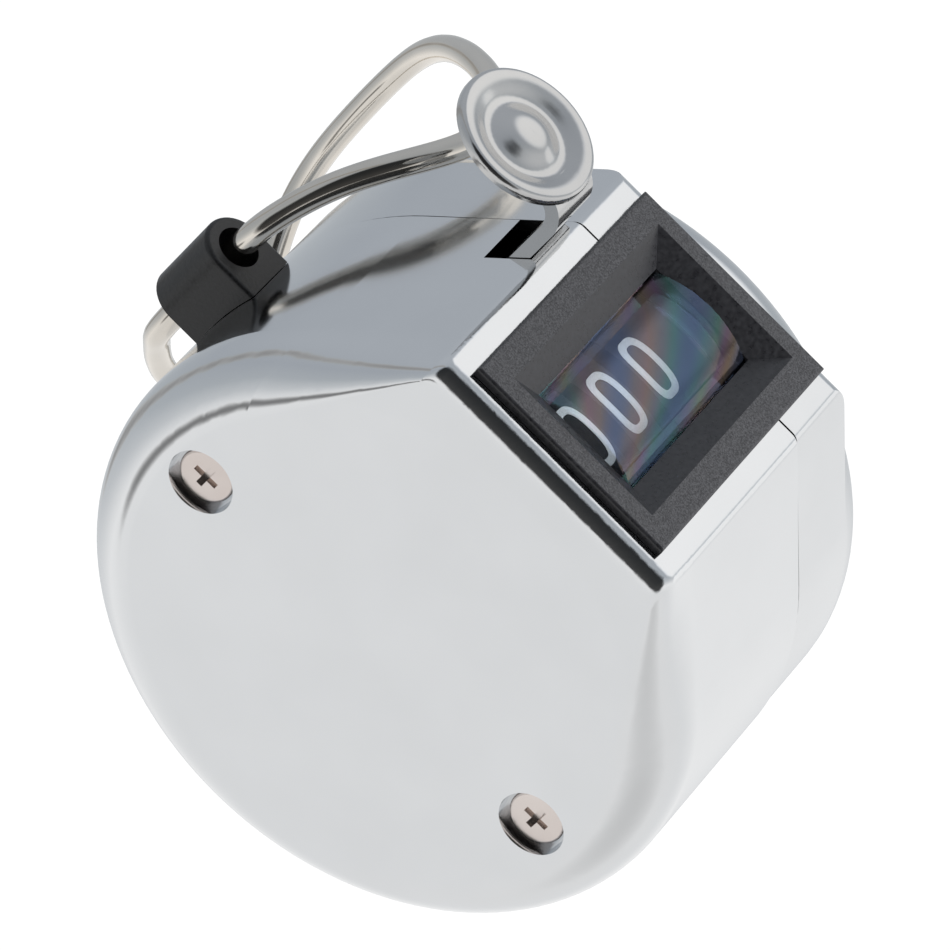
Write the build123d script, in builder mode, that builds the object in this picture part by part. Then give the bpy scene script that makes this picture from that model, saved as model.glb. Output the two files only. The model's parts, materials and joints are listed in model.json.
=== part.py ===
"""Hand tally counter: a chrome drum with a four-digit window, a thumb lever and a finger ring.

Millimetres. The drum's axis is Z and it rests on its left cover, so Z = 0 is that cover's flat face
and the right cover with the reset knob is on top. The window faces -Y, and the tops of the digits
point to -X, the side that carries the finger ring's holder.
"""

import os
from math import acos, atan2, cos, hypot, pi, radians, sin, sqrt

from build123d import *

os.makedirs("parts", exist_ok=True)

# ---- Case ----
case_radius = 22.5
case_width = 31.0
edge_radius = 4.2
wall = 0.8
window_flat = 23.4  # distance of the flat window face from the drum's axis
boss_half = 10.2  # half height of the raised window face
boss_end = 26.7
boss_edge = 1.6  # rounding of the window face's two ends
boss_side = 1.0  # rounding of its two long sides
near_steps = (0, 12, 24, 34, 42, 48, 54, 60, 68, 78, 90)  # degrees round the near cover's edge
seam_z = 19.2  # where the left cup ends and the right cup begins
seam_gap = 0.3  # dark line between the cups
set_in = 0.12  # the right cup is this much smaller all round
lip_depth = 1.8
lip_thickness = 0.6
lip_break_x = (-14.4, 8.4)  # no lip here, where the lever and the window's snap lips are
fit_gap = 0.04

# ---- Window ----
bezel_half = 8.4
bezel_z = (1.75, 25.35)
bezel_proud = 0.75
opening_half = 6.3
opening_z = (3.4, 23.8)
throat_half = 4.3
throat_z = (5.3, 21.95)
throat_y = -22.85
plug_half = 7.4
plug_z = (2.8, 24.2)
plug_back_y = -21.1
plug_play = 0.1
lens_crest_y = -23.95
lens_radius = 7.4
lens_thickness = 0.9
lens_half = 4.2
flange_half = 5.9
flange_z = (4.2, 23.0)
flange_y = (-21.9, -21.2)
snap_z = (5.0, 22.0)

# ---- Number wheels and gears ----
wheel_y = -6.5  # the wheel shaft stands off the drum's axis, towards the window
wheel_radius = 12.5
wheel_pitch = 4.55
rim_width = 3.05
first_wheel_z = 18.9  # middle of the units wheel's digits
rim_inner = 11.3
units_rim_end = 23.9
shaft_radius = 1.3
running_gap = 0.03
module = 1.05
gear_teeth = 20
pinion_teeth = 8
tooth_width = 1.2
gear_thickness = 0.8
sector_thickness = 0.6
pinion_thickness = 1.3
pinion_shaft_radius = 0.8
centre_distance = module * (gear_teeth + pinion_teeth) / 2
pinion_y = wheel_y + centre_distance
wheel_names = ("units_wheel", "tens_wheel", "hundreds_wheel", "thousands_wheel")

# ---- Frame ----
plate_thickness = 0.8
left_plate_z = 2.3
right_plate_z = 26.4
plate_radius = 20.6
plate_flat_y = -18.3
post_radius = 1.1
post_circle = 19.4
post_angles = (15, 55, 125, 210)  # measured from -X towards +Y

# ---- Thumb lever, pawl and ratchet ----
sheet = 1.0
arm_x = -11.35
arm_z = (14.2, 19.0)
arm_inner_y = -16.0
cross_outer_y = -17.2
side_plate_z = (24.4, 25.2)
pivot = (9.0, -15.0)
pivot_radius = 1.2
notch_x = (-13.0, -10.75)
disc_radius = 5.15
disc_x = -16.7
disc_y = -27.9
bend_radius = 2.0
pawl_pivot = (-7.5, -11.5)
pawl_pin_radius = 0.6
ratchet_teeth = 10
ratchet_tip = 4.4
ratchet_root = 3.4
ratchet_z = (21.2, 22.2)

# ---- Finger ring and holder ----
holder_x = -25.0
holder_z = 13.8
holder_radius = 2.5
holder_y = (-5.0, 1.8)
holder_base_x = -22.55
holder_foot_x = -21.6  # the foot's sides reach this far round the drum
bore_radius = 1.55
wire_radius = 0.95
ring_half_y = 17.4
ring_half_z = 12.8
ring_straight = 6.2
ring_bend = 5.0
ring_rise = 0.9
ring_sag = 7.1

# ---- Screws and knob ----
screw_circle = 15.8
screw_lean = 0.5  # the two screws stand slightly turned about the drum's axis
screw_head_radius = 2.05
screw_recess_radius = 2.45
screw_recess_depth = 1.6
screw_head_height = 0.9
screw_shank_radius = 0.95
knob_radius = 6.5
knob_height = 4.2
knob_flutes = 24


def box_between(x, y, z, mode=Mode.ADD):
    """A box from its lowest and highest X, Y and Z."""
    with Locations(((x[0] + x[1]) / 2, (y[0] + y[1]) / 2, (z[0] + z[1]) / 2)):
        Box(x[1] - x[0], y[1] - y[0], z[1] - z[0], mode=mode)


def cylinder_between(x, y, z, radius, mode=Mode.ADD):
    """A cylinder along Z through (x, y), from z[0] to z[1]."""
    with Locations((x, y, z[0])):
        Cylinder(radius, z[1] - z[0], align=(Align.CENTER, Align.CENTER, Align.MIN), mode=mode)


def write(piece, name):
    """Label a finished piece and write it as its own STEP file."""
    piece.part.label = name
    export_step(piece.part, f"parts/{name}.step")


# ---------------------------------------------------------------- case
def case_section(z, radius, front, side, corner):
    """A slice of the case at height z: the drum's circle with flanks out to the window face."""
    far = hypot(side, front)
    turn = atan2(front, side) - acos(radius / far)
    touch = (radius * cos(turn), -radius * sin(turn))
    with BuildSketch(Plane.XY.offset(z)) as section:
        with BuildLine():
            Line((-side, -front), (side, -front))
            Line((side, -front), touch)
            ThreePointArc(touch, (0, radius), (-touch[0], touch[1]))
            Line((-touch[0], touch[1]), (-side, -front))
        make_face()
        fillet(section.vertices().group_by(Axis.Y)[0], corner)
    return section.sketch


def drum_body(inset):
    """The case's outer form, moved inwards by inset: a rounded drum that flares to its window face."""
    radius, front, side = case_radius - inset, window_flat - inset, boss_half - inset
    edge, end_edge = edge_radius - inset, boss_edge - inset
    corner = boss_side - inset / 2
    near_sections = []
    for step in near_steps:
        rise = edge * (1 - cos(radians(step)))
        drop = max(end_edge - rise, 0)
        back = end_edge - sqrt(end_edge**2 - drop**2)
        circle = radius - edge * (1 - sin(radians(step)))
        near_sections.append(case_section(inset + rise, circle, front - back, side, corner))
    with BuildPart() as drum:
        cylinder_between(0, 0, (edge_radius + 1, case_width - inset), radius)
        fillet(drum.edges().group_by(Axis.Z)[-1], edge)
    far_z = boss_end - inset
    with BuildPart() as end_round:
        box_between((-40, 40), (-front - 1, end_edge - front), (far_z - end_edge, far_z + 1))
        with Locations(Location((0, end_edge - front, far_z - end_edge), (0, 90, 0))):
            Cylinder(end_edge, 90, mode=Mode.SUBTRACT)
    with BuildPart() as prism:
        extrude(near_sections[-1], amount=far_z - edge_radius)
        add(end_round.part, mode=Mode.SUBTRACT)
    with BuildPart() as body:
        add(prism.part)
        add(drum.part)
        loft(sections=near_sections)
    return body.part


outer_left = drum_body(0)
outer_right = drum_body(set_in)
cavity = drum_body(wall)


def window_cut():
    """Cut the opening that the window's plug sits in."""
    half = plug_half + plug_play
    box_between((-half, half), (-30, -10), (plug_z[0] - plug_play, plug_z[1] + plug_play), Mode.SUBTRACT)


def screw_places():
    return ((-screw_circle, -screw_lean), (screw_circle, screw_lean))


with BuildPart() as left_case_shell:
    add(outer_left)
    add(cavity, mode=Mode.SUBTRACT)
    box_between((-40, 40), (-40, 40), (seam_z, 40), Mode.SUBTRACT)
    for x, y in screw_places():
        cylinder_between(x, y, (wall / 2, left_plate_z), screw_recess_radius + wall)
    for x, y in screw_places():
        cylinder_between(x, y, (0, screw_recess_depth), screw_recess_radius, Mode.SUBTRACT)
        cylinder_between(x, y, (0, left_plate_z), screw_shank_radius + 0.2, Mode.SUBTRACT)
    window_cut()
    # notch for the lever's arm, open at the cup's rim
    box_between(notch_x, (-26, -15), (arm_z[0] - 0.1, seam_z), Mode.SUBTRACT)
    # hole for the ring holder's foot
    with Locations(Plane(origin=(holder_base_x - 1, 0, holder_z), z_dir=(1, 0, 0))):
        Cylinder(1.55, 4, align=(Align.CENTER, Align.CENTER, Align.MIN), mode=Mode.SUBTRACT)
write(left_case_shell, "left_case_shell")

lip_root = drum_body(wall / 2 + set_in)
lip_outer = drum_body(wall + fit_gap)
lip_inner = drum_body(wall + fit_gap + lip_thickness)


def lip_band(outer, z):
    """One band of the lip, kept clear of the lever's notch and of the window."""
    with BuildPart() as band:
        add(outer)
        add(lip_inner, mode=Mode.SUBTRACT)
        box_between((-40, 40), (-40, 40), (-1, z[0]), Mode.SUBTRACT)
        box_between((-40, 40), (-40, 40), (z[1], 40), Mode.SUBTRACT)
        box_between(lip_break_x, (-26, -15), (0, case_width), Mode.SUBTRACT)
    return band.part


with BuildPart() as right_case_shell:
    add(outer_right)
    add(cavity, mode=Mode.SUBTRACT)
    box_between((-40, 40), (-40, 40), (-1, seam_z + seam_gap), Mode.SUBTRACT)
    add(lip_band(lip_root, (seam_z, seam_z + wall)))
    add(lip_band(lip_outer, (seam_z - lip_depth, seam_z)))
    for x, y in screw_places():
        tube = (right_plate_z + plate_thickness, case_width - wall / 2)
        cylinder_between(x, y, tube, screw_recess_radius + wall)
    for x, y in screw_places():
        recess = (case_width - screw_recess_depth, case_width)
        cylinder_between(x, y, recess, screw_recess_radius, Mode.SUBTRACT)
        cylinder_between(x, y, (20, case_width), screw_shank_radius + 0.2, Mode.SUBTRACT)
    cylinder_between(0, wheel_y, (case_width - 3, case_width + 1), 2.6, Mode.SUBTRACT)
    window_cut()
write(right_case_shell, "right_case_shell")


# ---------------------------------------------------------------- window
def rectangle_at(y, half, z):
    """A rectangle sketch in the plane Y = y, from z[0] to z[1]."""
    plane = Plane(origin=(0, y, (z[0] + z[1]) / 2), x_dir=(1, 0, 0), z_dir=(0, -1, 0))
    with BuildSketch(plane) as sketch:
        Rectangle(2 * half, z[1] - z[0])
    return sketch.sketch


with BuildPart() as window_bezel:
    box_between((-bezel_half, bezel_half), (-window_flat - bezel_proud, -window_flat - fit_gap), bezel_z)
    fillet(window_bezel.edges().group_by(Axis.Y)[0], 0.25)
    box_between((-plug_half, plug_half), (-window_flat - fit_gap, plug_back_y), plug_z)
    loft(
        sections=[
            rectangle_at(-window_flat - bezel_proud, opening_half, opening_z),
            rectangle_at(throat_y, throat_half, throat_z),
        ],
        ruled=True,
        mode=Mode.SUBTRACT,
    )
    box_between((-throat_half, throat_half), (throat_y, plug_back_y), throat_z, Mode.SUBTRACT)
    pocket = flange_half + 0.05
    box_between(
        (-pocket, pocket),
        (flange_y[0] - 0.05, plug_back_y),
        (flange_z[0] - 0.05, flange_z[1] + 0.05),
        Mode.SUBTRACT,
    )
    # snap lips that catch behind the case's wall
    for side in (-1, 1):
        reach = sorted((side * (plug_half - 0.3), side * (plug_half + 0.5)))
        box_between(reach, (-window_flat + wall + 0.06, plug_back_y), snap_z)
write(window_bezel, "window_bezel")

lens_axis_y = lens_crest_y + lens_radius
lens_z = (throat_z[0] + 0.1, throat_z[1] - 0.1)


def lens_block(inset, back, mode):
    """The lens's bulged block, moved inwards by inset and reaching back to Y = back."""
    with BuildSketch(Plane.XY.offset(lens_z[0] + inset)) as block:
        with Locations((0, lens_axis_y)):
            Circle(lens_radius - inset)
        with Locations((0, (lens_crest_y + back) / 2)):
            Rectangle(2 * (lens_half - inset), back - lens_crest_y, mode=Mode.INTERSECT)
    extrude(block.sketch, amount=lens_z[1] - lens_z[0] - 2 * inset, mode=mode)


with BuildPart() as window_lens:
    box_between((-flange_half, flange_half), flange_y, flange_z)
    lens_block(0, flange_y[0] + 0.2, Mode.ADD)
    lens_block(lens_thickness, flange_y[1] + 0.2, Mode.SUBTRACT)
write(window_lens, "window_lens")


# ---------------------------------------------------------------- number wheels
def tooth_ring(teeth, pitch_radius, tip_radius, root_radius, width, first_angle):
    """Draw a spur gear: a root disc with tapered teeth, in the current sketch."""
    Circle(root_radius)
    base, tip = width * 1.12, width * 0.55
    with PolarLocations(0, teeth, start_angle=first_angle):
        Polygon(
            (root_radius - 0.3, -base / 2),
            (pitch_radius, -width / 2),
            (tip_radius, -tip / 2),
            (tip_radius, tip / 2),
            (pitch_radius, width / 2),
            (root_radius - 0.3, base / 2),
            align=None,
        )


gear_pitch = module * gear_teeth / 2
pinion_pitch = module * pinion_teeth / 2
hub_radius = 2.8


def number_wheel(index):
    """One number wheel: rim, web, hub, its 20-tooth gear and its two-tooth carry sector."""
    middle = first_wheel_z - index * wheel_pitch
    left, right = middle - rim_width / 2, middle + rim_width / 2
    rim_end = units_rim_end if index == 0 else right
    with BuildPart() as wheel:
        cylinder_between(0, 0, (left, rim_end), wheel_radius)
        if index == 0:
            cylinder_between(0, 0, (left + 1.2, rim_end), rim_inner, Mode.SUBTRACT)
            cylinder_between(0, 0, (left, ratchet_z[0]), hub_radius)
        else:
            for z in ((left - 1, left + 0.9), (right - 0.9, right + 1)):
                with BuildSketch(Plane.XY.offset(z[0])):
                    Circle(rim_inner)
                    Circle(hub_radius, mode=Mode.SUBTRACT)
                extrude(amount=z[1] - z[0], mode=Mode.SUBTRACT)
            with BuildSketch(Plane.XY.offset(right - 0.9)):
                tooth_ring(gear_teeth, gear_pitch, gear_pitch + 0.9, gear_pitch - 1.2, tooth_width, 9)
            extrude(amount=0.9 + gear_thickness)
        if index < 3:
            with BuildSketch(Plane.XY.offset(left - sector_thickness)):
                Circle(8.7)
                with PolarLocations(0, 2, start_angle=-98, angular_range=36):
                    Polygon((8, -0.7), (9.35, -0.4), (9.35, 0.4), (8, 0.7), align=None)
            extrude(amount=sector_thickness + 0.95)
        else:
            cylinder_between(0, 0, (left_plate_z + plate_thickness + 0.1, left + 0.95), hub_radius)
        cylinder_between(0, 0, (0, case_width), shaft_radius + running_gap, Mode.SUBTRACT)
    with BuildPart() as placed:
        add(wheel.part.moved(Location((0, wheel_y, 0))))
    return placed


for index, name in enumerate(wheel_names):
    write(number_wheel(index), name)


def transfer_pinion(index):
    """The pinion between wheel index and the next higher wheel."""
    gap_middle = first_wheel_z - (index + 0.5) * wheel_pitch
    with BuildPart() as pinion:
        with BuildSketch(Plane.XY.offset(gap_middle - pinion_thickness / 2)):
            tip, root = pinion_pitch + 0.85, pinion_pitch - 1.25
            tooth_ring(pinion_teeth, pinion_pitch, tip, root, tooth_width, -90)
        extrude(amount=pinion_thickness)
        cylinder_between(0, 0, (0, case_width), pinion_shaft_radius + running_gap, Mode.SUBTRACT)
    with BuildPart() as placed:
        add(pinion.part.moved(Location((0, pinion_y, 0))))
    return placed


for index in range(3):
    write(transfer_pinion(index), f"transfer_pinion_{index + 1}")

with BuildPart() as pinion_spacers:
    gaps = [first_wheel_z - (index + 0.5) * wheel_pitch for index in (2, 1, 0)]
    starts = [left_plate_z + plate_thickness] + [z + pinion_thickness / 2 + 0.05 for z in gaps]
    ends = [z - pinion_thickness / 2 - 0.05 for z in gaps] + [right_plate_z]
    for start, end in zip(starts, ends):
        with BuildSketch(Plane.XY.offset(start)):
            with Locations((0, pinion_y)):
                Circle(1.5)
                Circle(pinion_shaft_radius, mode=Mode.SUBTRACT)
        extrude(amount=end - start)
write(pinion_spacers, "pinion_spacers")

with BuildPart() as pinion_shaft:
    cylinder_between(0, pinion_y, (left_plate_z, right_plate_z + plate_thickness), pinion_shaft_radius)
    chamfer(pinion_shaft.edges(), 0.15)
write(pinion_shaft, "pinion_shaft")

shaft_end = case_width + 1.6
with BuildPart() as wheel_shaft:
    cylinder_between(0, wheel_y, (1.2, shaft_end), shaft_radius)
    chamfer(wheel_shaft.edges(), 0.2)
    cylinder_between(0, wheel_y, (shaft_end - 3.5, shaft_end), 0.6, Mode.SUBTRACT)
    # groove for the retaining clip, inside the left frame plate
    with BuildSketch(Plane.XY.offset(1.55)):
        with Locations((0, wheel_y)):
            Circle(2)
            Circle(1.0, mode=Mode.SUBTRACT)
    extrude(amount=0.5, mode=Mode.SUBTRACT)
write(wheel_shaft, "wheel_shaft")

with BuildPart() as shaft_clip:
    with BuildSketch(Plane.XY.offset(1.6)):
        with Locations((0, wheel_y)):
            Circle(2.3)
            Circle(1.02, mode=Mode.SUBTRACT)
        with Locations((0, wheel_y + 2)):
            Rectangle(1.7, 4, mode=Mode.SUBTRACT)
    extrude(amount=0.4)
write(shaft_clip, "shaft_clip")

with BuildPart() as ratchet_wheel:
    with BuildSketch(Plane.XY.offset(ratchet_z[0])):
        with Locations((0, wheel_y)):
            Circle(ratchet_root)
        step = 2 * pi / ratchet_teeth
        for tooth in range(ratchet_teeth):
            start = tooth * step
            with Locations((0, wheel_y)):
                Polygon(
                    (0, 0),
                    (ratchet_root * cos(start), ratchet_root * sin(start)),
                    (ratchet_tip * cos(start + 0.1), ratchet_tip * sin(start + 0.1)),
                    (ratchet_root * cos(start + step), ratchet_root * sin(start + step)),
                    align=None,
                )
    extrude(amount=ratchet_z[1] - ratchet_z[0])
    cylinder_between(0, wheel_y, (ratchet_z[1], right_plate_z - 0.1), 2.2)
    cylinder_between(0, wheel_y, (0, case_width), shaft_radius + running_gap, Mode.SUBTRACT)
write(ratchet_wheel, "ratchet_wheel")


# ---------------------------------------------------------------- frame
def post_places():
    return [(-post_circle * cos(radians(a)), post_circle * sin(radians(a))) for a in post_angles]


def frame_plate(z, boss_z):
    """A side plate of the inner frame, with its bearing holes and screw bosses."""
    with BuildPart() as plate:
        with BuildSketch(Plane.XY.offset(z)):
            Circle(plate_radius)
            with Locations((0, plate_flat_y - 10)):
                Rectangle(60, 20, mode=Mode.SUBTRACT)
            with Locations((0, wheel_y)):
                Circle(shaft_radius + running_gap, mode=Mode.SUBTRACT)
            with Locations((0, pinion_y)):
                Circle(pinion_shaft_radius, mode=Mode.SUBTRACT)
        extrude(amount=plate_thickness)
        for x, y in screw_places():
            cylinder_between(x, y, boss_z, 1.9)
            cylinder_between(x, y, (0, case_width), screw_shank_radius, Mode.SUBTRACT)
        for x, y in post_places():
            cylinder_between(x, y, (z - 1, z + 2), 0.7, Mode.SUBTRACT)
        if z == right_plate_z:
            cylinder_between(*pivot, (z, z + 1), 0.9, Mode.SUBTRACT)
            cylinder_between(*detent_foot, (z, z + 1), 0.3, Mode.SUBTRACT)
    return plate


detent_foot = (8.2, wheel_y)
write(frame_plate(left_plate_z, (left_plate_z, left_plate_z + 2.4)), "left_frame_plate")
write(frame_plate(right_plate_z, (right_plate_z - 1.2, right_plate_z + 0.1)), "right_frame_plate")

with BuildPart() as frame_posts:
    for x, y in post_places():
        cylinder_between(x, y, (left_plate_z + plate_thickness, right_plate_z), post_radius)
        cylinder_between(x, y, (left_plate_z, right_plate_z + plate_thickness), 0.7)
write(frame_posts, "frame_posts")


def cross_head_screws(top, direction):
    """Two cover screws. top is the head's outer face, direction +1 when they point to +Z."""
    with BuildPart() as screws:
        for x, y in screw_places():
            head = sorted((top, top + direction * screw_head_height))
            shank = sorted((top + direction * screw_head_height, top + direction * 4.0))
            cylinder_between(x, y, head, screw_head_radius)
            cylinder_between(x, y, shank, screw_shank_radius)
        outer = screws.edges().filter_by(GeomType.CIRCLE).group_by(Axis.Z)[0 if direction > 0 else -1]
        fillet(outer, 0.2)
        for x, y in screw_places():
            slot_depth = sorted((top, top + direction * 0.6))
            for half_x, half_y in ((0.95, 0.24), (0.24, 0.95)):
                box_between((x - half_x, x + half_x), (y - half_y, y + half_y), slot_depth, Mode.SUBTRACT)
    return screws


head_top = screw_recess_depth - screw_head_height
write(cross_head_screws(head_top, 1), "left_cover_screws")
write(cross_head_screws(case_width - head_top, -1), "right_cover_screws")

# ---------------------------------------------------------------- thumb lever
bend_y = disc_y + sheet / 2 + bend_radius  # the arm's end lies just behind the disc's face
with BuildPart() as thumb_lever:
    # side plate between the units wheel and the right frame plate
    with BuildSketch(Plane.XY.offset(side_plate_z[0])):
        with BuildLine():
            Polyline(
                (arm_x - sheet / 2, arm_inner_y),
                (arm_x - sheet / 2, cross_outer_y),
                (pivot[0], pivot[1] - 2.1),
                (pivot[0], pivot[1] + 2.1),
                (-3.0, arm_inner_y + 0.4),
                (pawl_pivot[0] + 1.6, pawl_pivot[1] + 1.5),
                (pawl_pivot[0] - 1.4, pawl_pivot[1] + 1.5),
                close=True,
            )
        make_face()
        with Locations(pivot):
            Circle(2.1)
    extrude(amount=side_plate_z[1] - side_plate_z[0])
    # cross strip over the wheels and the arm that leaves the case
    strip = (arm_x - sheet / 2, arm_x + sheet / 2)
    box_between(strip, (cross_outer_y, arm_inner_y), (arm_z[0], side_plate_z[1]))
    box_between(strip, (bend_y, arm_inner_y), arm_z)
    # bend from the arm into the disc's plane
    with BuildSketch(Plane.XY.offset(arm_z[0])):
        with Locations((arm_x - bend_radius, bend_y)):
            Circle(bend_radius + sheet / 2)
            Circle(bend_radius - sheet / 2, mode=Mode.SUBTRACT)
        with Locations((arm_x - bend_radius + 5, bend_y - 5)):
            Rectangle(10, 10, mode=Mode.INTERSECT)
    extrude(amount=arm_z[1] - arm_z[0])
    # dished disc: rounded rim bead, a groove and a central dome
    disc_plane = Plane(origin=(disc_x, disc_y, (arm_z[0] + arm_z[1]) / 2), x_dir=(1, 0, 0), z_dir=(0, 0, 1))
    with BuildSketch(disc_plane) as disc_profile:
        with BuildLine():
            Spline(
                (0, -0.75),
                (1.5, -0.5),
                (2.9, 0.15),
                (4.2, -0.4),
                (disc_radius, 0.05),
                tangents=((1, 0), (0, 1)),
            )
            Line((disc_radius, 0.05), (disc_radius, 0.3))
            Line((disc_radius, 0.3), (disc_radius - 0.2, 0.5))
            Line((disc_radius - 0.2, 0.5), (0, 0.5))
            Line((0, 0.5), (0, -0.75))
        make_face()
    revolve(axis=Axis(disc_plane.origin, (0, 1, 0)))
    cylinder_between(*pivot, (0, case_width), pivot_radius + running_gap, Mode.SUBTRACT)
    cylinder_between(*pawl_pivot, (0, case_width), pawl_pin_radius, Mode.SUBTRACT)
write(thumb_lever, "thumb_lever")

with BuildPart() as lever_pivot_pin:
    cylinder_between(*pivot, (24.0, 24.35), 1.8)
    cylinder_between(*pivot, (24.0, right_plate_z), pivot_radius)
    cylinder_between(*pivot, (right_plate_z, right_plate_z + plate_thickness), 0.9)
write(lever_pivot_pin, "lever_pivot_pin")

spring_wire = 0.2
with BuildPart() as lever_spring:
    with BuildLine() as coil:
        Helix(pitch=0.42, height=0.42 * 1.5, radius=1.6, center=(pivot[0], pivot[1], 25.2 + 0.26))
    with BuildSketch(Plane(origin=coil.line @ 0, z_dir=coil.line % 0)):
        Circle(spring_wire)
    sweep(is_frenet=True)
write(lever_spring, "lever_spring")

with BuildPart() as drive_pawl:
    with BuildSketch(Plane.XY.offset(ratchet_z[0] + 0.1)):
        with Locations(pawl_pivot):
            Circle(1.3)
        with BuildLine():
            Polyline(
                (pawl_pivot[0] - 1.2, pawl_pivot[1] + 0.4),
                (pawl_pivot[0] + 1.1, pawl_pivot[1] - 0.5),
                (-4.62, wheel_y - 0.6),
                (-4.75, wheel_y + 0.1),
                (-5.3, wheel_y + 0.1),
                close=True,
            )
        make_face()
        with Locations(pawl_pivot):
            Circle(pawl_pin_radius + running_gap, mode=Mode.SUBTRACT)
    extrude(amount=0.8)
write(drive_pawl, "drive_pawl")

with BuildPart() as pawl_pin:
    cylinder_between(*pawl_pivot, (ratchet_z[0] + 0.0, side_plate_z[1]), pawl_pin_radius)
    cylinder_between(*pawl_pivot, (ratchet_z[0] - 0.3, ratchet_z[0] + 0.05), 1.0)
write(pawl_pin, "pawl_pin")

with BuildPart() as pawl_spring:
    with BuildLine() as coil:
        Helix(pitch=0.5, height=1.5, radius=0.95, center=(pawl_pivot[0], pawl_pivot[1], ratchet_z[0] + 1.2))
    with BuildSketch(Plane(origin=coil.line @ 0, z_dir=coil.line % 0)):
        Circle(0.16)
    sweep(is_frenet=True)
write(pawl_spring, "pawl_spring")

with BuildPart() as detent_spring:
    with BuildLine() as route:
        FilletPolyline(
            (detent_foot[0], detent_foot[1], right_plate_z + plate_thickness),
            (detent_foot[0], detent_foot[1], ratchet_z[0] + 0.5),
            (ratchet_tip + 0.15, detent_foot[1], ratchet_z[0] + 0.5),
            radius=1.0,
        )
    with BuildSketch(Plane(origin=route.line @ 0, z_dir=route.line % 0)):
        Circle(0.3)
    sweep()
write(detent_spring, "detent_spring")

# ---------------------------------------------------------------- reset knob
knob_z = (case_width + 0.15, case_width + 0.15 + knob_height)
with BuildPart() as reset_knob:
    cylinder_between(0, wheel_y, knob_z, knob_radius)
    with Locations((0, wheel_y, 0)):
        with PolarLocations(knob_radius + 0.35, knob_flutes):
            with Locations((0, 0, knob_z[0] + 0.8)):
                upwards = (Align.CENTER, Align.CENTER, Align.MIN)
                Cylinder(0.6, knob_height, align=upwards, mode=Mode.SUBTRACT)
    cylinder_between(0, wheel_y, (case_width - 2.0, knob_z[0]), 2.5)
    cylinder_between(0, wheel_y, (0, shaft_end), shaft_radius, Mode.SUBTRACT)
    cylinder_between(0, wheel_y, (0, case_width + 10), 0.85, Mode.SUBTRACT)
    cylinder_between(0, wheel_y, (knob_z[1] - 1.3, case_width + 10), 1.9, Mode.SUBTRACT)
write(reset_knob, "reset_knob")

with BuildPart() as knob_screw:
    cylinder_between(0, wheel_y, (knob_z[1] - 1.3, knob_z[1] - 0.5), 1.7)
    cylinder_between(0, wheel_y, (shaft_end - 3.2, knob_z[1] - 1.3), 0.6)
    box_between((-1.8, 1.8), (wheel_y - 0.2, wheel_y + 0.2), (knob_z[1] - 0.9, knob_z[1]), Mode.SUBTRACT)
write(knob_screw, "knob_screw")

# ---------------------------------------------------------------- ring holder and finger ring
with BuildPart() as ring_holder:
    with BuildSketch(Plane(origin=(0, holder_y[0], 0), x_dir=(1, 0, 0), z_dir=(0, 1, 0))):
        with Locations((holder_x, -holder_z)):
            Circle(holder_radius)
        with Locations(((holder_x + holder_foot_x) / 2, -holder_z)):
            Rectangle(holder_foot_x - holder_x, 2 * holder_radius)
    extrude(amount=holder_y[1] - holder_y[0])
    fillet(ring_holder.edges().group_by(Axis.Y)[0], 0.35)
    cylinder_between(0, 0, (0, case_width), case_radius + fit_gap, Mode.SUBTRACT)
    with Locations(Plane(origin=(holder_base_x - 0.5, 0, holder_z), z_dir=(1, 0, 0))):
        Cylinder(1.5, 2.9, align=(Align.CENTER, Align.CENTER, Align.MIN))
    with Locations(Plane(origin=(holder_x, holder_y[0] - 1, holder_z), z_dir=(0, 1, 0))):
        Cylinder(bore_radius, 20, align=(Align.CENTER, Align.CENTER, Align.MIN), mode=Mode.SUBTRACT)
write(ring_holder, "ring_holder")

clip_x = -case_radius + wall + 0.15
with BuildPart() as holder_clip:
    with BuildSketch(Plane(origin=(clip_x, 0, holder_z), z_dir=(1, 0, 0))):
        Circle(2.4)
        Circle(1.5, mode=Mode.SUBTRACT)
    extrude(amount=0.5)
write(holder_clip, "holder_clip")


def ring_point(angle):
    """A point of the ring's middle line: an oval, bent to follow the drum, angle 0 in the holder."""
    t = radians(angle)
    x = holder_x - ring_rise * (1 - cos(t)) / 2 + ring_sag * sin(t) ** 4
    return (x, -ring_half_y * sin(t), holder_z + ring_half_z * (1 - cos(t)))


ring_corners = [ring_point(angle) for angle in range(28, 333, 19)]
with BuildPart() as finger_ring:
    with BuildLine() as loop:
        FilletPolyline(
            (holder_x, -ring_straight, holder_z),
            *ring_corners,
            (holder_x, ring_straight, holder_z),
            radius=ring_bend,
            close=True,
        )
    start = loop.edges().filter_by(GeomType.LINE).sort_by(Axis.Z)[0]
    with BuildSketch(Plane(origin=start @ 0, z_dir=start % 0)):
        Circle(wire_radius)
    sweep(path=loop.wires()[0])
write(finger_ring, "finger_ring")
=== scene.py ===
"""Looks of the hand tally counter: chrome drum, digit window, thumb lever, reset knob and finger ring.

Metres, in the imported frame: the drum's axis is Z, the window faces -Y and the digits' tops point to -X.
"""

import json
import math

import bmesh
import bpy
from mathutils import Matrix, Vector


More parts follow.
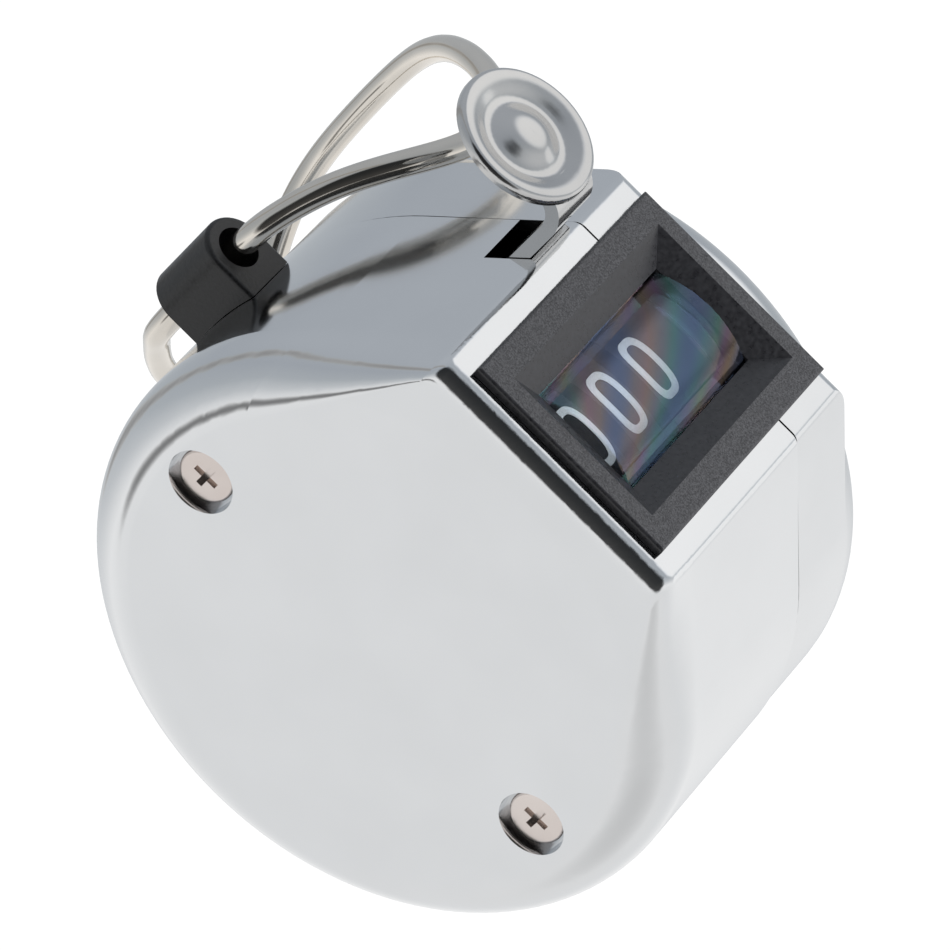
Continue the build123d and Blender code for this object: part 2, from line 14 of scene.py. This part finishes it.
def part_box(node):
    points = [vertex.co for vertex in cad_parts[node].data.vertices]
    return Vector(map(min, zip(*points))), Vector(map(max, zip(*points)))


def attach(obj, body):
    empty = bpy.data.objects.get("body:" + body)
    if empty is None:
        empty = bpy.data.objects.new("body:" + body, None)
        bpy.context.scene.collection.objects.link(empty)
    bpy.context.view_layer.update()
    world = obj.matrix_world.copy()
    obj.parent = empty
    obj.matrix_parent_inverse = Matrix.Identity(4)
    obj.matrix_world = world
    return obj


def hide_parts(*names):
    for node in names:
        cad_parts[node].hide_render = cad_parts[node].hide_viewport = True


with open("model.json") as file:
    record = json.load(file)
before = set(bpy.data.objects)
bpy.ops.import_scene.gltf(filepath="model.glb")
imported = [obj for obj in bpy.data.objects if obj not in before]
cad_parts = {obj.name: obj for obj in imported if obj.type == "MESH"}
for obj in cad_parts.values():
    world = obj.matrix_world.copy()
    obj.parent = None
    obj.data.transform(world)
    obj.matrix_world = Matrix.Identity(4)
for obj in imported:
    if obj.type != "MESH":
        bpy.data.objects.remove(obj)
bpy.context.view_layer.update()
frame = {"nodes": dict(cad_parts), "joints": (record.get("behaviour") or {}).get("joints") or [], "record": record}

MM = 0.001
LENS_GLOSS = 0.13  # share of gloss where the lens is seen square on
EDGE_GLOSS = 0.9  # further share where it is seen edge on
EDGE_POWER = 4.0
RIM_RELIEF = 0.55
RIM_START_Y = -22.0 * MM
RIM_FULL_Y = -23.2 * MM
GRAIN_DEPTH = 0.02 * MM


# ---------------------------------------------------------------- materials
def new_material(name):
    """A node material with an empty node tree, and that tree."""
    material = bpy.data.materials.new(name)
    material.use_nodes = True
    tree = material.node_tree
    tree.nodes.clear()
    return material, tree


def add_node(tree, kind, **values):
    """Add a node; values set its attributes, or its inputs when they name one."""
    node = tree.nodes.new(kind)
    for key, value in values.items():
        if hasattr(node, key):
            setattr(node, key, value)
        else:
            node.inputs[key.replace("_", " ")].default_value = value
    return node


def noise(tree, scale, detail=3.0, stretch=(1, 1, 1)):
    """Noise in object space, its scale given in features per metre."""
    place = add_node(tree, "ShaderNodeTexCoord")
    mapping = add_node(tree, "ShaderNodeMapping")
    mapping.inputs["Scale"].default_value = stretch
    texture = add_node(tree, "ShaderNodeTexNoise", Scale=scale, Detail=detail)
    tree.links.new(place.outputs["Object"], mapping.inputs["Vector"])
    tree.links.new(mapping.outputs["Vector"], texture.inputs["Vector"])
    return texture.outputs["Fac"]


def ramp(tree, factor, stops):
    """A colour ramp; stops are (position, grey value or colour)."""
    node = tree.nodes.new("ShaderNodeValToRGB")
    elements = node.color_ramp.elements
    while len(elements) < len(stops):
        elements.new(0.5)
    for element, (position, value) in zip(elements, stops):
        element.position = position
        element.color = (*value, 1) if isinstance(value, tuple) else (value, value, value, 1)
    tree.links.new(factor, node.inputs["Fac"])
    return node.outputs["Color"]


def bump(tree, height, strength, distance):
    """A bump normal made from a height."""
    node = add_node(tree, "ShaderNodeBump", Strength=strength, Distance=distance)
    tree.links.new(height, node.inputs["Height"])
    return node.outputs["Normal"]


def finish_surface(material, tree, shader):
    """Link the last shader to the material's output."""
    output = tree.nodes.new("ShaderNodeOutputMaterial")
    tree.links.new(shader.outputs[0], output.inputs["Surface"])
    return material


def rim_peel(tree, relief):
    """Bump strength that rises from relief to RIM_RELIEF towards the raised window rim."""
    place = add_node(tree, "ShaderNodeTexCoord")
    axes = add_node(tree, "ShaderNodeSeparateXYZ")
    tree.links.new(place.outputs["Object"], axes.inputs[0])
    rise = add_node(tree, "ShaderNodeMapRange", From_Min=RIM_START_Y, From_Max=RIM_FULL_Y)
    rise.inputs["To Min"].default_value = relief
    rise.inputs["To Max"].default_value = RIM_RELIEF
    tree.links.new(axes.outputs["Y"], rise.inputs["Value"])
    return rise.outputs["Result"]


def metal(name, dark, light, rough, grain=900.0, relief=0.05, stretch=(1, 1, 1), patch=120.0, rim=False):
    """Metal whose tint and polish wander in soft patches, with a fine grain in its surface."""
    material, tree = new_material(name)
    shader = add_node(tree, "ShaderNodeBsdfPrincipled", Metallic=1.0)
    patches = noise(tree, patch, 4.0)
    tree.links.new(ramp(tree, patches, [(0.3, dark), (0.7, light)]), shader.inputs["Base Color"])
    fine = noise(tree, grain, 6.0, stretch)
    tree.links.new(ramp(tree, patches, [(0.3, rough[0]), (0.7, rough[1])]), shader.inputs["Roughness"])
    surface = bump(tree, fine, relief, GRAIN_DEPTH)
    if rim:
        tree.links.new(rim_peel(tree, relief), surface.node.inputs["Strength"])
    tree.links.new(surface, shader.inputs["Normal"])
    return finish_surface(material, tree, shader)


def plastic(name, dark, light, rough, grain=6000.0, relief=0.3, depth=0.04):
    """Moulded plastic with a spark-eroded grain."""
    material, tree = new_material(name)
    shader = add_node(tree, "ShaderNodeBsdfPrincipled")
    fine = noise(tree, grain, 4.0)
    tree.links.new(ramp(tree, fine, [(0.35, dark), (0.68, light)]), shader.inputs["Base Color"])
    tree.links.new(ramp(tree, fine, [(0.3, rough[0]), (0.7, rough[1])]), shader.inputs["Roughness"])
    tree.links.new(bump(tree, fine, relief, depth * MM), shader.inputs["Normal"])
    return finish_surface(material, tree, shader)


def lens_material():
    """Clear moulded lens: see-through, with soft coloured stress bands in its gloss."""
    material, tree = new_material("lens_clear")
    place = add_node(tree, "ShaderNodeTexCoord")
    mapping = add_node(tree, "ShaderNodeMapping")
    mapping.inputs["Scale"].default_value = (160, 90, 110)
    tree.links.new(place.outputs["Object"], mapping.inputs["Vector"])
    bands = add_node(tree, "ShaderNodeTexWave", bands_direction="DIAGONAL")
    bands.inputs["Scale"].default_value = 0.30
    bands.inputs["Distortion"].default_value = 1.6
    bands.inputs["Detail"].default_value = 1.0
    tree.links.new(mapping.outputs["Vector"], bands.inputs["Vector"])
    hues = [
        (0.0, (0.30, 0.42, 0.75)),
        (0.25, (0.30, 0.66, 0.56)),
        (0.5, (0.66, 0.44, 0.66)),
        (0.75, (0.78, 0.58, 0.42)),
        (1.0, (0.34, 0.46, 0.78)),
    ]
    colour = ramp(tree, bands.outputs["Fac"], hues)
    gloss = add_node(tree, "ShaderNodeBsdfPrincipled", Metallic=1.0, Roughness=0.06)
    tree.links.new(colour, gloss.inputs["Base Color"])
    clear = add_node(tree, "ShaderNodeBsdfTransparent", Color=(0.93, 0.95, 0.96, 1))
    facing = add_node(tree, "ShaderNodeLayerWeight", Blend=0.5)
    steep = add_node(tree, "ShaderNodeMath", operation="POWER")
    steep.inputs[1].default_value = EDGE_POWER
    tree.links.new(facing.outputs["Facing"], steep.inputs[0])
    amount = add_node(tree, "ShaderNodeMath", operation="MULTIPLY_ADD", use_clamp=True)
    amount.inputs[1].default_value = EDGE_GLOSS
    amount.inputs[2].default_value = LENS_GLOSS
    tree.links.new(steep.outputs[0], amount.inputs[0])
    mix = tree.nodes.new("ShaderNodeMixShader")
    tree.links.new(amount.outputs[0], mix.inputs["Fac"])
    tree.links.new(clear.outputs[0], mix.inputs[1])
    tree.links.new(gloss.outputs[0], mix.inputs[2])
    return finish_surface(material, tree, mix)


chrome = metal("chrome_near", (0.78, 0.79, 0.80), (0.81, 0.82, 0.83), (0.10, 0.13), 2600, 0.04, rim=True)
chrome_far = metal("chrome_far", (0.76, 0.77, 0.78), (0.80, 0.81, 0.82), (0.12, 0.17), 2600, 0.05, rim=True)
satin_nickel = metal("satin_nickel", (0.54, 0.54, 0.54), (0.66, 0.655, 0.645), (0.13, 0.20), 5000, 0.08)
ring_nickel = metal("ring_nickel", (0.70, 0.66, 0.60), (0.84, 0.79, 0.72), (0.08, 0.13), 3000, 0.05)
screw_nickel = metal("screw_nickel", (0.68, 0.60, 0.56), (0.82, 0.75, 0.71), (0.16, 0.28), 6000, 0.15)
plate_steel = metal(
    "plate_steel", (0.50, 0.51, 0.52), (0.66, 0.66, 0.67), (0.28, 0.40), 900, 0.3, stretch=(1, 14, 1)
)
pin_steel = metal("pin_steel", (0.55, 0.56, 0.57), (0.72, 0.72, 0.73), (0.18, 0.28), 1500, 0.3, (1, 1, 12))
spring_steel = metal("spring_steel", (0.34, 0.35, 0.37), (0.52, 0.53, 0.55), (0.25, 0.35), 3000, 0.2)
brass = metal("brass_part", (0.62, 0.44, 0.18), (0.80, 0.62, 0.30), (0.20, 0.32), 2500, 0.2)
bezel_grain = plastic(
    "bezel_grain", (0.018, 0.018, 0.020), (0.075, 0.075, 0.080), (0.42, 0.60), 9000, 0.8, depth=0.06
)
seam_shadow = metal("seam_shadow", (0.05, 0.05, 0.05), (0.10, 0.10, 0.10), (0.45, 0.60))
# smooth plastic for the funnel walls, its dark colour partly painted shade for the recess
bezel_smooth_shaded = plastic(
    "bezel_smooth_shaded", (0.012, 0.012, 0.014), (0.024, 0.024, 0.027), (0.26, 0.36), 3000, 0.1
)
holder_black = plastic(
    "holder_black", (0.006, 0.006, 0.006), (0.016, 0.016, 0.017), (0.30, 0.42), 3500, 0.4
)
wheel_black = plastic("wheel_black", (0.010, 0.010, 0.012), (0.022, 0.022, 0.026), (0.38, 0.55), 4000, 0.2)
gear_white = plastic("gear_white", (0.66, 0.64, 0.57), (0.78, 0.76, 0.70), (0.40, 0.55), 2500, 0.2)
digit_white = plastic("digit_white", (0.70, 0.73, 0.76), (0.86, 0.88, 0.90), (0.45, 0.60), 7000, 0.3)
lens_clear = lens_material()

SLOT_MATERIALS = {
    "chrome_shell": chrome,
    "far_shell": chrome_far,
    "dark_plastic": bezel_grain,
    "clear_lens": lens_clear,
    "wheel_black": wheel_black,
    "gear_white": gear_white,
    "plate_steel": plate_steel,
    "pin_steel": pin_steel,
    "spring_steel": spring_steel,
    "brass_part": brass,
    "satin_nickel": satin_nickel,
    "screw_nickel": screw_nickel,
    "ring_nickel": ring_nickel,
    "holder_black": holder_black,
}

for part in frame["record"]["subparts"]:
    node = frame["nodes"][part["node"]]
    node.data.materials.clear()
    node.data.materials.append(SLOT_MATERIALS[part["material_slot"]])


# the window's funnel is smooth, unlike the bezel's grained front, and its walls are painted darker as shade in the
# recess
FRONT_TILT = 0.97
FUNNEL_HALF = 6.5 * MM
bezel = frame["nodes"]["window_bezel"].data
bezel.materials.append(bezel_smooth_shaded)
for face in bezel.polygons:
    if abs(face.center.x) < FUNNEL_HALF and abs(face.normal.y) < FRONT_TILT:
        face.material_index = 1


# the lip under the seam is painted dark as shade in the gap, so that the seam reads as a thin line
SEAM_TOP = 19.51 * MM
far_cup = frame["nodes"]["right_case_shell"].data
far_cup.materials.append(seam_shadow)
for face in far_cup.polygons:
    if face.center.z < SEAM_TOP:
        face.material_index = 1


# ---------------------------------------------------------------- digits
WHEEL_BODIES = ("units", "tens", "hundreds", "thousands")
DIGIT_HEIGHT = 5.1 * MM
DIGIT_WIDTH = 2.4 * MM
ZERO_WIDTH = 2.5 * MM
STROKE = 0.58 * MM
ZERO_SQUARENESS = 0.62  # 1 is an ellipse, 0 a rectangle
ZERO_STEPS = 64
RIM_BAND = 0.2 * MM  # vertices this close to the widest radius belong to the rim
DIGIT_LIFT = 0.03 * MM
RIM_HALF = 1.525 * MM


def zero_outline():
    """The flat mesh of a zero: a slim ring between two rounded oblongs."""
    bm = bmesh.new()
    rings = []
    for inset in (0, STROKE):
        half_x, half_y = ZERO_WIDTH / 2 - inset, DIGIT_HEIGHT / 2 - inset
        ring = []
        for step in range(ZERO_STEPS):
            t = 2 * math.pi * step / ZERO_STEPS
            x = half_x * math.copysign(abs(math.cos(t)) ** ZERO_SQUARENESS, math.cos(t))
            y = half_y * math.copysign(abs(math.sin(t)) ** ZERO_SQUARENESS, math.sin(t))
            ring.append(bm.verts.new((x, y, 0)))
        rings.append(ring)
    for step in range(ZERO_STEPS):
        after = (step + 1) % ZERO_STEPS
        bm.faces.new((rings[1][step], rings[0][step], rings[0][after], rings[1][after]))
    mesh = bpy.data.meshes.new("zero")
    bm.to_mesh(mesh)
    bm.free()
    return mesh


def digit_outline(value):
    """The flat mesh of one digit, centred, scaled to the digit's height and width."""
    if value == 0:
        return zero_outline()
    text = bpy.data.curves.new("digit", "FONT")
    text.body = str(value)
    text.resolution_u = 6
    text.offset = 0.02
    holder = bpy.data.objects.new("digit", text)
    bpy.context.scene.collection.objects.link(holder)
    bpy.context.view_layer.update()
    mesh = bpy.data.meshes.new_from_object(holder.evaluated_get(bpy.context.evaluated_depsgraph_get()))
    bpy.data.objects.remove(holder)
    xs = [v.co.x for v in mesh.vertices]
    ys = [v.co.y for v in mesh.vertices]
    width = DIGIT_WIDTH * (0.5 if value == 1 else 1.0)
    for v in mesh.vertices:
        v.co.x = (v.co.x - (min(xs) + max(xs)) / 2) / (max(xs) - min(xs)) * width
        v.co.y = (v.co.y - (min(ys) + max(ys)) / 2) / (max(ys) - min(ys)) * DIGIT_HEIGHT
    return mesh


OUTLINES = [digit_outline(value) for value in range(10)]


def wheel_digits(node, body):
    """Ten digits printed round a number wheel, wrapped onto its rim."""
    low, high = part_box(node)
    radius = (high.x - low.x) / 2 + DIGIT_LIFT
    centre_y = (high.y + low.y) / 2
    # the rim is the wheel's widest stretch
    points = [v.co for v in frame["nodes"][node].data.vertices]
    rim = [p.z for p in points if math.hypot(p.x, p.y - centre_y) > radius - RIM_BAND]
    middle = min(rim) + RIM_HALF
    bm = bmesh.new()
    for value, outline in enumerate(OUTLINES):
        start = len(bm.verts)
        bm.from_mesh(outline)
        bm.verts.ensure_lookup_table()
        for v in bm.verts[start:]:
            angle = v.co.y / radius - value * math.radians(36)
            along = middle + v.co.x
            v.co = Vector((-radius * math.sin(angle), centre_y - radius * math.cos(angle), along))
    mesh = bpy.data.meshes.new(f"{body}_digits")
    bm.to_mesh(mesh)
    bm.free()
    piece = bpy.data.objects.new(f"{body}_digits", mesh)
    bpy.context.scene.collection.objects.link(piece)
    mesh.materials.append(digit_white)
    thick = piece.modifiers.new("print", "SOLIDIFY")
    thick.thickness = DIGIT_LIFT
    thick.offset = -1
    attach(piece, body)


for body in WHEEL_BODIES:
    wheel_digits(f"{body}_wheel", body)


# ---------------------------------------------------------------- finger ring
def finger_ring():
    """The ring's wire as one smooth closed curve, straight where it turns in its holder."""
    low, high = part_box("finger_ring")
    hinge = next(j for j in frame["joints"] if j["name"] == "ring_swing")["pos_m"]
    wire = 0.95 * MM
    half_y = (high.y - low.y) / 2 - wire
    half_z = (high.z - hinge[2] - wire) / 2
    rise, sag, straight = 0.9 * MM, 7.1 * MM, 6.2 * MM
    curve = bpy.data.curves.new("finger_ring_wire", "CURVE")
    curve.dimensions = "3D"
    curve.bevel_depth = wire
    curve.bevel_resolution = 8
    curve.resolution_u = 12
    points = [(hinge[0], -straight, hinge[2]), (hinge[0], 0, hinge[2]), (hinge[0], straight, hinge[2])]
    for angle in range(332, 27, -16):
        t = math.radians(angle)
        x = hinge[0] - rise * (1 - math.cos(t)) / 2 + sag * math.sin(t) ** 4
        points.append((x, -half_y * math.sin(t), hinge[2] + half_z * (1 - math.cos(t))))
    spline = curve.splines.new("NURBS")
    spline.points.add(len(points) - 1)
    for point, place in zip(spline.points, points):
        point.co = (*place, 1)
    spline.use_cyclic_u = True
    spline.order_u = 4
    piece = bpy.data.objects.new("finger_ring_wire", curve)
    bpy.context.scene.collection.objects.link(piece)
    curve.materials.append(ring_nickel)
    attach(piece, "ring")
    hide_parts("finger_ring")


finger_ring()


# ---------------------------------------------------------------- floor, light and camera
def stage_floor():
    """A pale floor seen from above only, open under the drum's cover so that light reaches it."""
    bm = bmesh.new()
    steps, depth = 96, -0.02 * MM
    rings = []
    for radius in (20 * MM, 80 * MM, 1.6):
        ring = []
        for step in range(steps):
            angle = 2 * math.pi * step / steps
            ring.append(bm.verts.new((radius * math.cos(angle), radius * math.sin(angle), depth)))
        rings.append(ring)
    for near, far in zip(rings, rings[1:]):
        for step in range(steps):
            after = (step + 1) % steps
            bm.faces.new((near[step], far[step], far[after], near[after]))
    mesh = bpy.data.meshes.new("floor")
    bm.to_mesh(mesh)
    bm.free()
    floor = bpy.data.objects.new("floor", mesh)
    bpy.context.scene.collection.objects.link(floor)
    material, tree = new_material("floor_pale")
    pale = add_node(tree, "ShaderNodeBsdfDiffuse")
    tone = ramp(tree, noise(tree, 8.0), [(0.3, 0.80), (0.7, 0.84)])
    tree.links.new(tone, pale.inputs["Color"])
    clear = add_node(tree, "ShaderNodeBsdfTransparent")
    side = add_node(tree, "ShaderNodeNewGeometry")
    mix = tree.nodes.new("ShaderNodeMixShader")
    tree.links.new(side.outputs["Backfacing"], mix.inputs["Fac"])
    tree.links.new(pale.outputs[0], mix.inputs[1])
    tree.links.new(clear.outputs[0], mix.inputs[2])
    mesh.materials.append(finish_surface(material, tree, mix))
    floor.visible_glossy = False


stage_floor()


# The photograph's view: below the left cover and in front of the window.
VIEW_RIGHT = Vector((0.7098, -0.5218, 0.4731))
VIEW_UP = Vector((-0.7036, -0.4941, 0.5107))
VIEW_BACK = VIEW_RIGHT.cross(VIEW_UP).normalized()
DISTANCE = 541.4 * MM
FRAME_CENTRE = VIEW_RIGHT * 7.23 * MM + VIEW_UP * 11.84 * MM
PIXELS_PER_MM = 15.068
FRAME_PIXELS = 950


def mirrored(normal):
    """The direction that a face with this normal mirrors into the camera."""
    normal = Vector(normal)
    return VIEW_BACK.reflect(normal) * -1


def studio_world():
    """A white studio: the backdrop is white, and reflections see soft grey and dark zones."""
    world = bpy.data.worlds.new("studio")
    bpy.context.scene.world = world
    world.use_nodes = True
    tree = world.node_tree
    tree.nodes.clear()
    place = add_node(tree, "ShaderNodeTexCoord")

    def toward(direction, stops):
        """A tone that depends on how near a direction is to the one given."""
        dot = add_node(tree, "ShaderNodeVectorMath", operation="DOT_PRODUCT")
        tree.links.new(place.outputs["Generated"], dot.inputs[0])
        dot.inputs[1].default_value = Vector(direction).normalized()
        half = add_node(tree, "ShaderNodeMath", operation="MULTIPLY_ADD")
        tree.links.new(dot.outputs["Value"], half.inputs[0])
        half.inputs[1].default_value = 0.5
        half.inputs[2].default_value = 0.5
        return ramp(tree, half.outputs[0], stops)

    base = toward(
        (1, 0.6, -0.55),
        [
            (0.0, (0.46, 0.49, 0.53)),
            (0.2, (0.41, 0.44, 0.48)),
            (0.36, (0.46, 0.49, 0.52)),
            (0.50, (0.62, 0.64, 0.66)),
            (0.66, (0.94, 0.94, 0.94)),
            (0.83, (0.83, 0.835, 0.84)),
            (0.94, 0.84),
            (1.0, 0.66),
        ],
    )
    zones = [
        ("MULTIPLY", toward(VIEW_BACK, [(0.0, 1.0), (0.87, 1.0), (0.92, 0.06)])),
        ("MULTIPLY", toward(mirrored((0, -1, 0)), [(0.0, 1.0), (0.93, 1.0), (0.985, (2.7, 2.55, 2.4))])),
        ("MULTIPLY", toward((0.66, -0.27, 0.70), [(0.0, 1.0), (0.985, 1.0), (0.995, 2.0)])),
    ]
    # two dark lines that follow the near cover's rounded edge, one at the cover and one at the drum
    for tilt, near, full, tone in ((4.0, 0.9965, 0.9992, 0.18), (0.6, 0.993, 0.998, 0.30)):
        for phi in range(24, 106, 6):
            turn = math.radians(phi)
            edge = Vector((-math.sin(turn), -math.cos(turn), -tilt)).normalized()
            zones.append(("DARKEN", toward(mirrored(edge), [(0.0, 1.0), (near, 1.0), (full, tone)])))
    tone = base
    for blend, zone in zones:
        mixer = add_node(tree, "ShaderNodeMix", data_type="RGBA", blend_type=blend)
        mixer.inputs[0].default_value = 1.0
        tree.links.new(tone, mixer.inputs[6])
        tree.links.new(zone, mixer.inputs[7])
        tone = mixer.outputs[2]
    studio = add_node(tree, "ShaderNodeBackground", Strength=1.0)
    tree.links.new(tone, studio.inputs["Color"])
    white = add_node(tree, "ShaderNodeBackground", Color=(1, 1, 1, 1), Strength=1.05)
    path = add_node(tree, "ShaderNodeLightPath")
    mix = tree.nodes.new("ShaderNodeMixShader")
    tree.links.new(path.outputs["Is Camera Ray"], mix.inputs["Fac"])
    tree.links.new(studio.outputs[0], mix.inputs[1])
    tree.links.new(white.outputs[0], mix.inputs[2])
    output = tree.nodes.new("ShaderNodeOutputWorld")
    tree.links.new(mix.outputs[0], output.inputs["Surface"])


studio_world()


def soft_light(name, place, aim, size, power):
    """A square soft box aimed at a point of the object."""
    light = bpy.data.lights.new(name, "AREA")
    light.shape = "SQUARE"
    light.size = size
    light.energy = power
    lamp = bpy.data.objects.new(name, light)
    bpy.context.scene.collection.objects.link(lamp)
    lamp.location = place
    lamp.rotation_mode = "QUATERNION"
    lamp.rotation_quaternion = (Vector(aim) - Vector(place)).to_track_quat("-Z", "Y")
    lamp.visible_camera = False
    lamp.visible_glossy = False


soft_light("key_light", (0.30, -0.40, 0.10), (0, 0, 0.015), 0.25, 2.2)
soft_light("window_light", (0.05, -0.45, 0.00), (0, -0.02, 0.015), 0.20, 0.8)

camera = bpy.data.objects.new("camera", bpy.data.cameras.new("camera"))
bpy.context.scene.collection.objects.link(camera)
camera.data.sensor_width = 36.0
camera.data.lens = 36.0 * (DISTANCE / MM) * PIXELS_PER_MM / FRAME_PIXELS
camera.location = FRAME_CENTRE + VIEW_BACK * DISTANCE
camera.rotation_mode = "QUATERNION"
camera.rotation_quaternion = Matrix((VIEW_RIGHT, VIEW_UP, VIEW_BACK)).transposed().to_quaternion()
camera.data.clip_start = 0.01
camera.data.clip_end = 10
bpy.context.scene.camera = camera
bpy.context.scene.view_settings.view_transform = "Standard"
